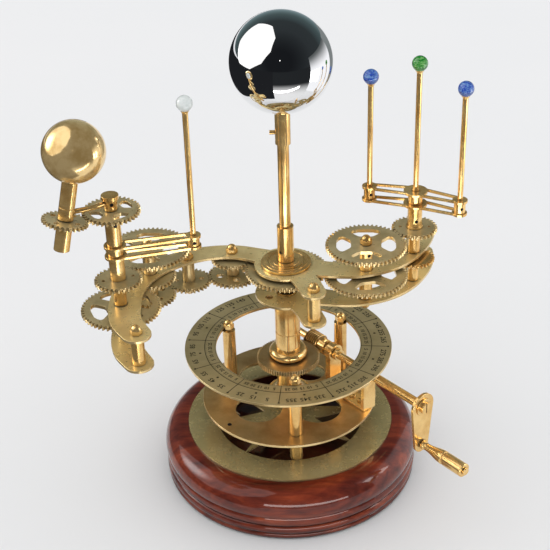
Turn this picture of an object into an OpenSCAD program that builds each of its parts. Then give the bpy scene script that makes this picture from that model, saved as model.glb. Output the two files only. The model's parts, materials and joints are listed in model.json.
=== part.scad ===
// Desk orrery: a hand crank and worm turn a geared frame round a fixed sun,
// and the gear trains on the frame turn the planet rods as it goes.
// Millimetres, +Z up, origin at the middle of the underside of the base.

/* [Base] */
// Largest radius of the turned wooden base
base_r = 94; // [92:1:98]
// Radius of the brass plate let onto the base
base_plate_r = 76; // [74:0.5:77]
// Radius of the plate that carries the crank brackets
mid_plate_r = 64; // [62:1:68]
// Outer radius of the calendar ring
ring_r = 75; // [70:1:80]
// Inner radius of the calendar ring
ring_bore_r = 52.4; // [52:0.1:53]

/* [Gears] */
// Clearance cut from each flank of every gear tooth
flank_gap = 0.08; // [0.06:0.01:0.12]
// Thickness of the train gears
gear_t = 2.5; // [2:0.1:2.6]

/* [Balls] */
// Radius of the silver sun ball
sun_ball_r = 33.5; // [28:0.5:35]
// Radius of the gold ball
gold_ball_r = 19.9; // [15:0.1:21]
// Radius of the glass marbles
marble_r = 5.3; // [4.5:0.1:5.6]

/* [Crank] */
// Distance between the two centres of the crank arm
crank_throw = 32; // [26:1:36]
// Length of the turned handle
handle_len = 38.5; // [34:0.5:46]

/* [Hidden] */

// Fits: parts that stay together and parts that turn on each other, as radial gaps
fixed_gap = 0.02;
run_gap = 0.05;
fine = 64;
brass = "#b8964a";
bright_brass = "#d0a850";
plate_brass = "#a89860";
steel = "#c8ccd0";

// Heights of the stack, from the underside up
felt_t = 1;
wood_top = 38.7;
recess_z = 30;
base_plate_t = 1.5;
plate_t = 2;
mid_top = 61.2;
ring_top = 104.7;
wheel_z = 90.5;
wheel_t = 4;
column_foot_z = wheel_z + wheel_t;
lower_z = 147;
upper_z = 170;
lower_top = lower_z + plate_t;
upper_top = upper_z + plate_t;
low_gears_z = 152;
high_gears_z = 165.3;
under_plate_gears_z = 167.2;
top_gears_z = 189.3;
base_plate_top = wood_top + base_plate_t;

// Gear teeth: one millimetre module on the trains, a finer one on the worm wheel
module_train = 1;
module_worm = 0.6;
pressure = 20;
addendum = 0.95;
dedendum = 1.2;
sun_n = 56;
a_small_n = 28;
a_large_n = 34;
b_n = 30;
c_low_n = 32;
c_high_n = 34;
c_top_n = 56;
left_spindle_n = 52;
left_tube_n = 30;
ball_drive_n = 36;
ball_n = 28;
right_lower_n = 56;
right_upper_n = 54;
right_spindle_n = 28;
right_sleeve_n = 30;
wheel_n = 74;

// Directions from one gear centre to the next, in degrees
a_dir = 158.4;
b_dir = 195.3;
c_dir = 219.4;
left_dir = 250.4;
right_dir = -7.8;
right_post_dir = 35.7;
ball_dir = 215.5;

function polar(r, a) = [r * cos(a), r * sin(a)];
function centres(n1, n2) = (n1 + n2) * module_train / 2;

hub = [0, 0];
a_pos = hub + polar(centres(sun_n, a_small_n), a_dir);
b_pos = a_pos + polar(centres(a_large_n, b_n), b_dir);
c_pos = b_pos + polar(centres(b_n, c_low_n), c_dir);
left_pos = c_pos + polar(centres(c_high_n, left_spindle_n), left_dir);
right_pos = hub + polar(centres(sun_n, right_lower_n), right_dir);
right_post = right_pos + polar(centres(right_lower_n, right_spindle_n), right_post_dir);
end_pillar = [-93, -89];
tail_pillar = [20, -37];

// Shafts, studs and sleeves
arbor_r = 4;
stud_r = 2.5;
sleeve_r = 4.5;
pillar_r = 4.5;
tail_r = 2;
left_spindle_r = 3;
left_neck_r = 4.3;
left_tube_r = 5.1;
right_spindle_r = 2.5;
right_sleeve_r = 5.1;
rod_r = 1.9;
nut_r = 4.1;
nut_hex_h = 3.2;
nut_dome_r = 3.4;

// Yokes
left_yoke_z = [208, 215.5];
right_yoke_z = [209, 218.5];
yoke_t = 1.8;
left_rod_reach = 51.6;
left_rod_dir = 15.1;
left_rod_pos = left_pos + polar(left_rod_reach, left_rod_dir);
right_rod_reach = 32.4;
right_rod_dirs = [166.4, -25.8];
left_marble_z = 310;
right_marble_z = 300.5;
centre_marble_z = 312.5;

// Gold ball unit: its axis leans over towards the left post
ball_tilt = 14;
ball_gear_t = 2.4;
ball_gear_pos = left_pos + polar(ball_drive_n / 2 + ball_n / 2 * cos(ball_tilt) + 0.35, ball_dir);
ball_gear_z = 244.6;
ball_drive_z = 240.6;
stem_r = 5.1;
stem_pin_r = 2.6;
bush_low = 1.7;
bush_high = 9.7;
stem_low = -19.5;
gold_ball_at = 46.4;
ball_wall = 1.2;

// Sun ball on its mast
sun_ball_z = 321;
socket_r = 5.2;
socket_z = 264;
mast_foot_z = 188;
clamp_r = 5.8;
clamp_top = 202;

// Crank shaft: level, tangent to the worm wheel
shaft_z = wheel_z + wheel_t / 2;
shaft_dir = -47;
worm_r = 6.6;
shaft_off = wheel_n * module_worm / 2 + worm_r;
shaft_near = polar(shaft_off, shaft_dir + 90);
shaft_r = 2.8;
shaft_sleeve_r = 3.35;
shaft_inner = -24;
worm_from = -9;
worm_to = 4;
worm_end = 11;
inner_bracket_at = 17;
outer_bracket_at = 54;
arm_at = 106;
arm_t = 2.2;
handle_gap = 1.2;

// A point between polar angles keeps each mesh in step:
// the phase of gear j that fills the gaps of gear i in direction a
function mesh_phase(a, phase_i, n_i, n_j) = a + 180 - (180 - (a - phase_i) * n_i) / n_j;
sun_phase = 0;
a_small_phase = mesh_phase(a_dir, sun_phase, sun_n, a_small_n);
b_phase = mesh_phase(b_dir, 0, a_large_n, b_n);
c_low_phase = mesh_phase(c_dir, b_phase, b_n, c_low_n);
left_spindle_phase = mesh_phase(left_dir, 0, c_high_n, left_spindle_n);
left_tube_phase = mesh_phase(left_dir, 0, c_top_n, left_tube_n);
right_lower_phase = mesh_phase(right_dir, sun_phase, sun_n, right_lower_n);
right_spindle_phase = mesh_phase(right_post_dir, right_lower_phase, right_lower_n, right_spindle_n);
right_sleeve_phase = mesh_phase(right_post_dir, 0, right_upper_n, right_sleeve_n);
ball_phase = mesh_phase(ball_dir, 0, ball_drive_n, ball_n) - ball_dir - 180;
wheel_phase = shaft_dir + 90 + 180 / wheel_n;

// ---------- shared shapes ----------

// Involute half angle of a tooth, in degrees, at radius r
function inv(a) = tan(a) * 180 / PI - a;
function roll(r, rb) = acos(min(1, rb / max(r, rb)));
function half_angle(r, n, m, gap) =
    90 / n + inv(pressure) - inv(roll(r, n * m / 2 * cos(pressure))) - gap / (n * m / 2) * 180 / PI;

// Closed outline of a gear: root, pitch and tip points on both flanks of each tooth
function gear_outline(n, m, phase, gap) = [
    for (i = [0 : n - 1])
        let (mid = phase + i * 360 / n,
             radii = [n * m / 2 - dedendum * m, n * m / 2, n * m / 2 + addendum * m],
             halves = [for (r = radii) half_angle(r, n, m, gap)])
        for (p = [[0, -1], [1, -1], [2, -1], [2, 1], [1, 1], [0, 1]])
            polar(radii[p[0]], mid + p[1] * halves[p[0]])
];

function power(v, e) = sign(v) * pow(abs(v), e);

// Rounded sector window between two radii
module window(r_in, r_out, half, n = 20) {
    mid = (r_in + r_out) / 2;
    reach = (r_out - r_in) / 2;
    polygon([
        for (i = [0 : n - 1])
            let (a = i * 360 / n + 180 / n,
                 r = mid + reach * power(cos(a), 0.5),
                 spread = half * power(sin(a), 0.5) * (0.72 + 0.28 * (r - r_in) / (r_out - r_in)))
            polar(r, spread)
    ]);
}

module gear_2d(n, m, phase, bore, gap = flank_gap) {
    difference() {
        polygon(gear_outline(n, m, phase, gap));
        circle(r = bore, $fn = fine);
        children();
    }
}

module four_windows(r_in, r_out, half = 36, turn = 0) {
    for (i = [0 : 3]) rotate(turn + i * 90) window(r_in, r_out, half);
}

module ring_holes(count, at_r, hole_r, turn = 0) {
    for (i = [0 : count - 1]) rotate(turn + i * 360 / count) translate([at_r, 0]) circle(r = hole_r, $fn = 32);
}

module rod(r, z0, z1) {
    translate([0, 0, z0]) cylinder(r = r, h = z1 - z0, $fn = fine);
}

module tube(r_out, r_in, z0, z1) {
    difference() {
        rod(r_out, z0, z1);
        rod(r_in, z0 - 1, z1 + 1);
    }
}

module plate_at(z, t) {
    translate([0, 0, z]) linear_extrude(height = t) children();
}

module at(p, z = 0) {
    translate([p[0], p[1], z]) children();
}

// Domed hexagon nut with a blind bore in its flat face, standing on z = 0
module dome_nut(bore = tail_r) {
    difference() {
        union() {
            cylinder(r = nut_r, h = nut_hex_h, $fn = 6);
            translate([0, 0, nut_hex_h]) intersection() {
                sphere(r = nut_dome_r, $fn = fine);
                translate([-5, -5, -0.5]) cube([10, 10, 5]);
            }
        }
        rod(bore + fixed_gap, -1, 4);
    }
}

// Catmull-Rom curve through the points, then a band of varying width along it
function curve_at(a, b, c, d, t) =
    0.5 * ((2 * b) + (c - a) * t + (2 * a - 5 * b + 4 * c - d) * t * t + (3 * b - a - 3 * c + d) * t * t * t);
function curve(p, steps = 5) = [
    for (i = [0 : len(p) - 2])
        for (s = [0 : steps - 1])
            curve_at(p[max(i - 1, 0)], p[i], p[i + 1], p[min(i + 2, len(p) - 1)], s / steps),
    p[len(p) - 1]
];
function side(c, i, sgn) =
    let (d = [c[min(i + 1, len(c) - 1)][0] - c[max(i - 1, 0)][0], c[min(i + 1, len(c) - 1)][1] - c[max(i - 1, 0)][1]])
    [c[i][0], c[i][1]] + sgn * c[i][2] / 2 * [-d[1], d[0]] / norm(d);

// Arm outline from points that each give x, y and the width there, with a round end
module arm_2d(points) {
    c = curve(points);
    n = len(c) - 1;
    way = atan2(c[n][1] - c[n - 1][1], c[n][0] - c[n - 1][0]);
    polygon(concat(
        [for (i = [0 : n]) side(c, i, 1)],
        [for (a = [75 : -15 : -75]) [c[n][0], c[n][1]] + polar(c[n][2] / 2, way + a)],
        [for (i = [n : -1 : 0]) side(c, i, -1)]
    ));
}

left_arm = [
    [0, 3, 24], [-20, 12, 18], [-39, 17.2, 17], [-61, 14, 17.5], [-81, 3, 18.5],
    [-96, -13, 19.5], [-104.5, -33, 21], [-105.5, -54, 22], [-102, -74, 21], [-93, -89, 19.5]
];
right_arm = [
    [0, 0, 26], [25, -6.5, 20], [48, -8.5, 18.5], [68, -1.5, 18], [82, 11, 18],
    [92, 28, 18], [97.5, 45, 17.5], [98.5, 58, 16]
];
tail_arm = [[0, 0, 20], [13, -20, 18], [20, -37.5, 17]];
crescent = [
    [-93.9, -12.7, 18], [-104, -33, 20], [-105.5, -54, 22], [-102, -74, 21], [-93, -89, 19.5]
];
hub_r = 22.3;

// ---------- base ----------

module felt_pad() {
    color("#2f4a36") cylinder(r = base_r - 3, h = felt_t, $fn = fine * 2);
}

// Each bead of the moulding is a circle clipped to its own band
module bead(z0, z1, r, reach) {
    intersection() {
        translate([reach - r, (z0 + z1) / 2]) circle(r = r, $fn = fine);
        translate([0, z0]) square([reach + 1, z1 - z0]);
    }
}

module wood_base() {
    recess_r = 54.5;
    shoulder_r = 14;
    shoulder_z = wood_top - shoulder_r;
    color("#7a2f1c") rotate_extrude($fn = fine * 2) difference() {
        union() {
            translate([0, felt_t]) square([base_r - 2.1, wood_top - felt_t - shoulder_r]);
            bead(felt_t, 5, 2.6, base_r - 0.8);
            bead(5, 11.3, 4, base_r - 0.3);
            bead(11.3, 19.6, 6, base_r - 0.5);
            translate([0, 19.6]) square([base_r - shoulder_r, wood_top - 19.6]);
            intersection() {
                translate([base_r - shoulder_r, shoulder_z]) circle(r = shoulder_r, $fn = fine);
                translate([0, 19.6]) square([base_r + 1, 30]);
            }
        }
        translate([0, recess_z]) square([recess_r, 20]);
    }
}

// Compass-rose tracery: a ring and an eight-pointed star of bars over a dark recess
module base_plate() {
    star_tip = 56;
    star_valley = 19;
    color(plate_brass) plate_at(wood_top, base_plate_t) difference() {
        union() {
            difference() {
                circle(r = base_plate_r, $fn = fine * 2);
                circle(r = 54, $fn = fine * 2);
            }
            polygon([
                for (i = [0 : 7])
                    for (k = [0 : 1])
                        polar(k == 0 ? star_tip : star_valley, 11 + i * 45 + k * 22.5)
            ]);
        }
        circle(r = arbor_r + fixed_gap, $fn = fine);
    }
}

pillar_ring = 49.5;
pillar_dirs = [-82.5, 40, 155];
post_r = 4.75;

module each_pillar() {
    for (a = pillar_dirs) at(polar(pillar_ring, a)) children();
}

module mid_plate() {
    color(brass) plate_at(mid_top - plate_t, plate_t) difference() {
        circle(r = mid_plate_r, $fn = fine * 2);
        circle(r = arbor_r + fixed_gap, $fn = fine);
        for (p = [[-21.5, -20], [21.5, -20], [-21.5, 20]]) translate(p) circle(r = 17, $fn = fine);
        translate([15, 25.5]) circle(r = 11, $fn = fine);
        translate([-41.5, -40]) circle(r = 1.5, $fn = 24);
        for (a = pillar_dirs) translate(polar(pillar_ring, a)) circle(r = tail_r + fixed_gap, $fn = 32);
    }
}

module lower_pillars() {
    color(bright_brass) each_pillar() difference() {
        rod(post_r, base_plate_top, mid_top - plate_t);
        rod(tail_r + fixed_gap, mid_top - plate_t - 8, mid_top);
    }
}

module upper_pillars() {
    neck_r = 2.7;
    color(bright_brass) each_pillar() union() {
        rod(tail_r, mid_top - plate_t - 7, mid_top);
        rod(post_r, mid_top, ring_top - plate_t);
        rod(neck_r, ring_top - plate_t, ring_top);
        rod(tail_r, ring_top, ring_top + 3.5);
    }
}

module ring_nuts() {
    color(bright_brass) each_pillar() translate([0, 0, ring_top]) dome_nut();
}

module calendar_ring() {
    color(plate_brass) plate_at(ring_top - plate_t, plate_t) difference() {
        circle(r = ring_r, $fn = fine * 3);
        circle(r = ring_bore_r, $fn = fine * 3);
    }
}

// Bell-shaped housing that holds the fixed arbor upright
module column_bearing() {
    flange_r = 16;
    waist_r = 8.5;
    curve_r = flange_r - waist_r - 1;
    top_z = wheel_z - 0.4;
    color(bright_brass) rotate_extrude($fn = fine) difference() {
        union() {
            translate([0, mid_top]) square([flange_r, 2.5]);
            difference() {
                translate([0, mid_top + 2.5]) square([flange_r - 1, curve_r]);
                translate([flange_r - 1, mid_top + 2.5 + curve_r]) circle(r = curve_r, $fn = fine);
            }
            translate([0, mid_top + 2.5]) square([waist_r, top_z - mid_top - 2.5]);
            translate([0, top_z - 7]) square([11, 5]);
            translate([0, top_z - 2]) square([9.5, 2]);
        }
        translate([-1, 0]) square([1 + arbor_r + fixed_gap, 200]);
    }
}

// ---------- crank brackets and shaft ----------

// Local +Z runs outwards along the shaft, local +X points down
module on_shaft(t = 0) {
    at(shaft_near + polar(t, shaft_dir), shaft_z) rotate([0, 90, shaft_dir]) children();
}

// Same place, but with Z up and X outwards along the shaft
module beside_shaft(t = 0) {
    at(shaft_near + polar(t, shaft_dir)) rotate([0, 0, shaft_dir]) children();
}

screw_r = 1.2;
foot_t = 2.4;

module inner_bracket() {
    wide = 11;
    post_t = 5;
    head_r = 6.5;
    head_t = 6;
    foot_len = 15;
    color(bright_brass) difference() {
        union() {
            beside_shaft(inner_bracket_at) translate([-post_t / 2, -wide / 2, mid_top])
                cube([post_t, wide, shaft_z - mid_top]);
            beside_shaft(inner_bracket_at) translate([8 - foot_len, -wide / 2 - 0.5, mid_top])
                cube([foot_len, wide + 1, foot_t]);
            on_shaft(inner_bracket_at - head_t / 2) cylinder(r = head_r, h = head_t, $fn = fine);
        }
        on_shaft(inner_bracket_at - 10) cylinder(r = shaft_r + run_gap, h = 20, $fn = fine);
        beside_shaft(inner_bracket_at) translate([5.6, 0, 50]) cylinder(r = screw_r, h = 20, $fn = 24);
    }
}

module outer_bracket() {
    wide = 11.6;
    thick = 3;
    head_r = 6.6;
    head_t = 3.4;
    foot_len = 22;
    color(brass) difference() {
        union() {
            beside_shaft(outer_bracket_at) translate([-thick / 2, -wide / 2, mid_top])
                cube([thick, wide, shaft_z - mid_top]);
            beside_shaft(outer_bracket_at) translate([thick / 2 - foot_len, -wide / 2, mid_top])
                cube([foot_len, wide, foot_t]);
            on_shaft(outer_bracket_at - head_t / 2) cylinder(r = head_r, h = head_t, $fn = fine);
        }
        on_shaft(outer_bracket_at - 10) cylinder(r = shaft_r + run_gap, h = 20, $fn = fine);
        for (x = [-16, -8]) beside_shaft(outer_bracket_at)
            translate([x, 0, 50]) cylinder(r = screw_r, h = 20, $fn = 24);
    }
}

// Cheese-head screws in the bracket feet, and the set screws of the mast
module base_screws() {
    head_r = 2.3;
    head_h = 1.6;
    color(bright_brass) {
        for (x = [outer_bracket_at - 16, outer_bracket_at - 8, inner_bracket_at + 5.6])
            beside_shaft(x) union() {
                rod(screw_r - fixed_gap, mid_top + 0.1, mid_top + foot_t);
                difference() {
                    rod(head_r, mid_top + foot_t, mid_top + foot_t + head_h);
                    translate([-3, -0.3, mid_top + foot_t + head_h - 0.8]) cube([6, 0.6, 1]);
                }
            }
        translate([0, 0, socket_z + 8]) rotate([0, -90, 0]) rod(1.5, socket_r, socket_r + 3.6);
        translate([0, 0, 183]) rotate([0, 90, -125]) rod(1.2, arbor_r + 0.1, clamp_r - 0.5);
    }
}

module crank_shaft() {
    color(bright_brass) on_shaft() union() {
        rod(shaft_r, shaft_inner, arm_at + arm_t);
        rod(shaft_sleeve_r, outer_bracket_at + 1.8, arm_at - 2.5);
        rod(shaft_sleeve_r + 1.2, arm_at - 2.5, arm_at);
        rod(shaft_r + 1.6, inner_bracket_at + 3.3, inner_bracket_at + 7);
    }
}

// Radius of the thread at angle a from its crest: the axial tooth wrapped round the worm
worm_lead = PI * module_worm;
function thread_r(a) =
    let (tip = worm_r + 0.92 * module_worm,
         root = worm_r - 1.12 * module_worm,
         z = min(a, 360 - a) / 360 * worm_lead,
         z_tip = worm_lead / 4 - 0.11 - 0.92 * module_worm * tan(pressure))
    max(root, min(tip, tip - (z - z_tip) / tan(pressure)));

module worm() {
    points = 24;
    turns = (worm_to - worm_from) / worm_lead;
    color(brass) on_shaft() difference() {
        union() {
            rotate(-90 + 360 * worm_from / worm_lead) translate([0, 0, worm_from])
                linear_extrude(height = worm_to - worm_from, twist = -360 * turns, slices = ceil(turns * 14))
                    polygon([for (i = [0 : points - 1]) polar(thread_r(i * 360 / points), i * 360 / points)]);
            rod(5.75, worm_to - 0.5, worm_end);
            rod(4.4, worm_end - 0.5, inner_bracket_at - 3.3);
        }
        rod(shaft_r + fixed_gap, worm_from - 1, inner_bracket_at);
    }
}

module crank_arm() {
    big_r = 10;
    small_r = 6.5;
    color(bright_brass) on_shaft(arm_at) difference() {
        linear_extrude(height = arm_t) hull() {
            circle(r = big_r, $fn = 48);
            translate([crank_throw, 0]) circle(r = small_r, $fn = 48);
        }
        rod(shaft_r + fixed_gap, -1, 5);
        translate([crank_throw, 0, 0]) rod(1.6 + fixed_gap, -1, 5);
    }
}

handle_from = arm_at + arm_t + handle_gap;

// Washer and screw on the shaft end, and the pin that the handle turns on
module crank_screws() {
    washer_r = 6.5;
    head_r = 4.2;
    color(bright_brass) {
        on_shaft(arm_at + arm_t) union() {
            rod(washer_r, 0, 1);
            difference() {
                rod(head_r, 1, 3.2);
                translate([-head_r - 1, -0.4, 2.3]) cube([head_r * 2 + 2, 0.8, 2]);
            }
        }
        on_shaft() translate([crank_throw, 0, 0]) union() {
            rod(2.8, arm_at - 1.2, arm_at);
            rod(1.6, arm_at, handle_from + handle_len + 0.6);
            rod(2.6, handle_from + handle_len + 0.4, handle_from + handle_len + 1.8);
        }
    }
}

// Turned handle: collar, swelling taper, groove and barrel
module handle() {
    barrel_r = 5;
    profile = [
        [3.4, 0], [3.4, 2.2], [2.7, 3], [2.9, 6], [3.6, 11], [4.5, 16], [5, 19], [5, 20.4],
        [4.3, 20.8], [4.3, 21.6], [barrel_r, 22], [barrel_r, handle_len - 1], [barrel_r - 1, handle_len]
    ];
    color(brass) on_shaft(handle_from) translate([crank_throw, 0, 0]) difference() {
        rotate_extrude($fn = fine) polygon(concat([[0, 0]], profile, [[0, handle_len]]));
        rod(1.6 + run_gap, -1, handle_len + 1);
    }
}

// ---------- fixed centre ----------

module centre_arbor() {
    color(bright_brass) rod(arbor_r, recess_z, mast_foot_z);
}

module sun_gear() {
    collar_r = 7;
    color(plate_brass) difference() {
        union() {
            plate_at(high_gears_z, gear_t) gear_2d(sun_n, module_train, sun_phase, arbor_r + fixed_gap);
            rod(collar_r, lower_top + 3, lower_top + 11);
            rod(collar_r - 1.5, lower_top + 2, high_gears_z);
        }
        rod(arbor_r + fixed_gap, lower_z, upper_z);
    }
}

module mast_clamp() {
    color(bright_brass) difference() {
        tube(clamp_r, arbor_r + fixed_gap, upper_top + 3.3, clamp_top);
        translate([0, 0, 183]) rotate([0, 90, -125]) rod(1.22, 0, 9);
    }
}

module mast() {
    seat = sun_ball_z - sqrt(pow(sun_ball_r, 2) - pow(socket_r, 2));
    color(bright_brass) union() {
        rod(arbor_r, mast_foot_z, socket_z);
        rod(socket_r, socket_z, seat);
    }
}

// Hollow ball, ground flat where the mast's socket meets it
module silver_ball() {
    seat = sun_ball_z - sqrt(pow(sun_ball_r, 2) - pow(socket_r, 2));
    color(steel) difference() {
        translate([0, 0, sun_ball_z]) sphere(r = sun_ball_r, $fn = fine * 2);
        translate([0, 0, sun_ball_z]) sphere(r = sun_ball_r - ball_wall, $fn = fine * 2);
        rod(socket_r + 1, seat - 10, seat);
    }
}

// ---------- turning frame ----------

module worm_wheel() {
    color(brass) plate_at(wheel_z, wheel_t)
        gear_2d(wheel_n, module_worm, wheel_phase, 7 + fixed_gap, 0.06);
}

module column() {
    foot_r = 14;
    foot_ring = 3.8;
    column_r = 9;
    color(bright_brass) rotate_extrude($fn = fine) difference() {
        union() {
            translate([0, wheel_z]) square([7, wheel_t]);
            translate([0, column_foot_z]) square([foot_r - foot_ring, foot_ring * 2]);
            translate([foot_r - foot_ring, column_foot_z + foot_ring]) circle(r = foot_ring, $fn = fine);
            translate([0, column_foot_z]) square([column_r, 116 - column_foot_z]);
            translate([0, 116]) square([column_r - 0.3, 0.6]);
            translate([0, 116.6]) square([column_r, lower_z - 116.6]);
            translate([0, lower_z - 2.5]) square([15, 2.5]);
            translate([0, lower_z]) square([7, plate_t + 1]);
        }
        translate([-1, 0]) square([1 + arbor_r + run_gap, 200]);
    }
}

// Round holes through the frame plate that starts at height z
module drilled(points, r, z) {
    for (p = points) at(p) rod(r, z - 1, z + plate_t + 1);
}

module lower_plate() {
    color(plate_brass) difference() {
        union() {
            rod(hub_r, lower_z, lower_top);
            plate_at(lower_z, plate_t) arm_2d(right_arm);
            plate_at(lower_z, plate_t) arm_2d(tail_arm);
        }
        rod(7 + fixed_gap, lower_z - 1, lower_top + 1);
        drilled([right_pos], stud_r + fixed_gap, lower_z);
        drilled([right_post], right_spindle_r + run_gap, lower_z);
        drilled([tail_pillar], tail_r + fixed_gap, lower_z);
        drilled([[-12, -8]], 2.7, lower_z);
    }
}

module upper_plate() {
    color(plate_brass) difference() {
        union() {
            rod(hub_r, upper_z, upper_top);
            for (arm = [left_arm, right_arm, tail_arm]) plate_at(upper_z, plate_t) arm_2d(arm);
        }
        rod(6 + fixed_gap, upper_z - 1, upper_top + 1);
        drilled([a_pos, b_pos], stud_r + fixed_gap, upper_z);
        drilled([c_pos, right_pos, left_pos, right_post], sleeve_r + run_gap, upper_z);
        drilled([tail_pillar, end_pillar], tail_r + fixed_gap, upper_z);
    }
}

module frame_flange() {
    color(bright_brass) rotate_extrude($fn = fine) difference() {
        union() {
            translate([0, upper_z]) square([6, plate_t]);
            translate([0, upper_top]) square([17.5, 2]);
            translate([0, upper_top]) square([15, 2.5]);
            translate([0, upper_top]) square([9.5, 3]);
        }
        translate([12.2, upper_top + 2]) square([0.8, 2]);
        translate([-1, 0]) square([1 + arbor_r + run_gap, 200]);
    }
}

module crescent_plate() {
    color(plate_brass) difference() {
        union() {
            plate_at(lower_z, plate_t) arm_2d(crescent);
            at(c_pos) rod(9.5, lower_z, lower_top);
        }
        drilled([c_pos], stud_r + fixed_gap, lower_z);
        drilled([left_pos], left_spindle_r + run_gap, lower_z);
        drilled([end_pillar], tail_r + fixed_gap, lower_z);
    }
}

module frame_pillars() {
    color(bright_brass) for (p = [tail_pillar, end_pillar]) at(p) union() {
        rod(tail_r, lower_z, lower_top);
        rod(pillar_r, lower_top, upper_z);
        rod(tail_r, upper_z, upper_top + 3.5);
    }
}

// Fixed studs that the hubs turn on: two hang from the upper plate, two stand in the lower plates
module gear_studs() {
    color(bright_brass) {
        for (p = [a_pos, b_pos]) at(p) union() {
            rod(stud_r, low_gears_z - 6.2, upper_top + 3.5);
        }
        for (p = [c_pos, right_pos]) at(p) union() {
            rod(stud_r, lower_z - 3.5, top_gears_z + gear_t + 4);
        }
    }
}

module frame_nuts() {
    color(bright_brass) {
        for (p = [tail_pillar, end_pillar]) at(p, upper_top) dome_nut();
        for (p = [a_pos, b_pos]) at(p, upper_top) dome_nut(stud_r);
        for (p = [a_pos, b_pos]) at(p, low_gears_z - 2.6) mirror([0, 0, 1]) dome_nut(stud_r);
        for (p = [c_pos, right_pos]) at(p, top_gears_z + gear_t + 0.4) dome_nut(stud_r);
        for (p = [c_pos, right_pos]) at(p, lower_z) mirror([0, 0, 1]) dome_nut(stud_r);
    }
}

// ---------- gears that hang from the left arm ----------

// A and B each turn on a stud, between the plate and the nut below it
module gear_a_small() {
    color(plate_brass) at(a_pos) union() {
        tube(sleeve_r, stud_r + run_gap, low_gears_z + gear_t, upper_z - 0.2);
        plate_at(high_gears_z, gear_t) gear_2d(a_small_n, module_train, a_small_phase, stud_r + run_gap);
    }
}

module gear_a_large() {
    color(plate_brass) at(a_pos) union() {
        plate_at(low_gears_z, gear_t) gear_2d(a_large_n, module_train, 0, stud_r + run_gap)
            ring_holes(4, 9.6, 2.6, 20);
        tube(sleeve_r, stud_r + run_gap, low_gears_z - 2.4, low_gears_z);
    }
}

module gear_b() {
    color(plate_brass) at(b_pos) union() {
        plate_at(low_gears_z, gear_t) gear_2d(b_n, module_train, b_phase, stud_r + run_gap)
            ring_holes(2, 9, 1.7, 10);
        tube(sleeve_r, stud_r + run_gap, low_gears_z - 2.4, low_gears_z);
        tube(sleeve_r, stud_r + run_gap, low_gears_z + gear_t, upper_z - 0.2);
    }
}

// C is one sleeve through the plate, with a gear at each of the three levels
module gear_c_low() {
    color(plate_brass) at(c_pos) union() {
        plate_at(low_gears_z, gear_t) gear_2d(c_low_n, module_train, c_low_phase, stud_r + run_gap)
            ring_holes(4, 9, 2, 45);
        tube(sleeve_r, stud_r + run_gap, lower_top + 0.2, low_gears_z);
        tube(sleeve_r, stud_r + run_gap, low_gears_z + gear_t, top_gears_z);
        tube(stud_r + 1.2, stud_r + run_gap, top_gears_z, top_gears_z + gear_t);
    }
}

module gear_c_high() {
    color(plate_brass) at(c_pos) plate_at(under_plate_gears_z, gear_t)
        gear_2d(c_high_n, module_train, 0, sleeve_r + fixed_gap);
}

module gear_c_top() {
    color(plate_brass) at(c_pos) plate_at(top_gears_z, gear_t)
        gear_2d(c_top_n, module_train, 0, stud_r + 1.2 + fixed_gap) four_windows(10.5, 21.5);
}

// ---------- left post ----------

// Spindle with its turned head, which holds the bent arm of the gold ball
module left_spindle() {
    cap_r = 5.7;
    head_z = ball_drive_z + gear_t + 0.4;
    color(bright_brass) at(left_pos) union() {
        rod(left_spindle_r, lower_z, head_z);
        rod(left_neck_r, head_z, head_z + 7.5);
        rod(cap_r, head_z + 7.5, head_z + 10.2);
    }
}

module left_spindle_gear() {
    color(plate_brass) at(left_pos) union() {
        plate_at(under_plate_gears_z, gear_t)
            gear_2d(left_spindle_n, module_train, left_spindle_phase, left_spindle_r + fixed_gap)
                four_windows(10, 20.8, turn = 25);
        tube(sleeve_r, left_spindle_r + fixed_gap, lower_top + 0.3, under_plate_gears_z);
        tube(sleeve_r, left_spindle_r + fixed_gap, under_plate_gears_z + gear_t, upper_top + 0.2);
    }
}

// Local +Z is the leaning axis of the gold ball, with local +X towards the post
module on_ball_axis(l = 0) {
    at(ball_gear_pos, ball_gear_z) rotate([0, ball_tilt, ball_dir - 180]) translate([0, 0, l]) children();
}

ball_axis = [sin(ball_tilt) * cos(ball_dir - 180), sin(ball_tilt) * sin(ball_dir - 180), cos(ball_tilt)];
bush_mid = [ball_gear_pos[0], ball_gear_pos[1], ball_gear_z] + (bush_low + bush_high) / 2 * ball_axis;

// Straight rod between two points
module strut(p, q, r) {
    d = q - p;
    translate(p) rotate([0, acos(d[2] / norm(d)), atan2(d[1], d[0])]) cylinder(r = r, h = norm(d), $fn = 32);
}

// Bent rod from the head of the spindle to the bush that the stem turns in
module ball_arm() {
    bend_r = 1.7;
    rod_z = ball_drive_z + gear_t + 5;
    start = [left_pos[0], left_pos[1], rod_z];
    reach = bush_mid - start;
    side_way = [-reach[1], reach[0], 0] / norm([reach[0], reach[1]]);
    bend = start + reach * 0.5 + side_way * 2.2;
    overrun = 0.4;
    in_way = (bend - start) / norm(bend - start);
    out_way = (bush_mid - bend) / norm(bush_mid - bend);
    color(bright_brass) difference() {
        union() {
            strut(start, bend + in_way * overrun, bend_r + 0.05);
            strut(bend - out_way * overrun, bush_mid, bend_r);
            on_ball_axis() rod(stem_r, bush_low, bush_high);
        }
        on_ball_axis() rod(stem_pin_r + run_gap, bush_low - 5, bush_high + 5);
        at(left_pos) rod(left_neck_r + fixed_gap, rod_z - 8, rod_z + 8);
    }
}

module left_tube() {
    color(bright_brass) at(left_pos) difference() {
        union() {
            rod(left_tube_r - 0.8, upper_top + 0.6, top_gears_z);
            rod(left_tube_r - 1.2, top_gears_z, top_gears_z + gear_t);
            rod(left_tube_r, top_gears_z + gear_t, ball_drive_z);
            rod(left_tube_r - 1.2, ball_drive_z, ball_drive_z + gear_t);
        }
        rod(left_spindle_r + run_gap, upper_top, ball_drive_z + 10);
    }
}

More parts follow.
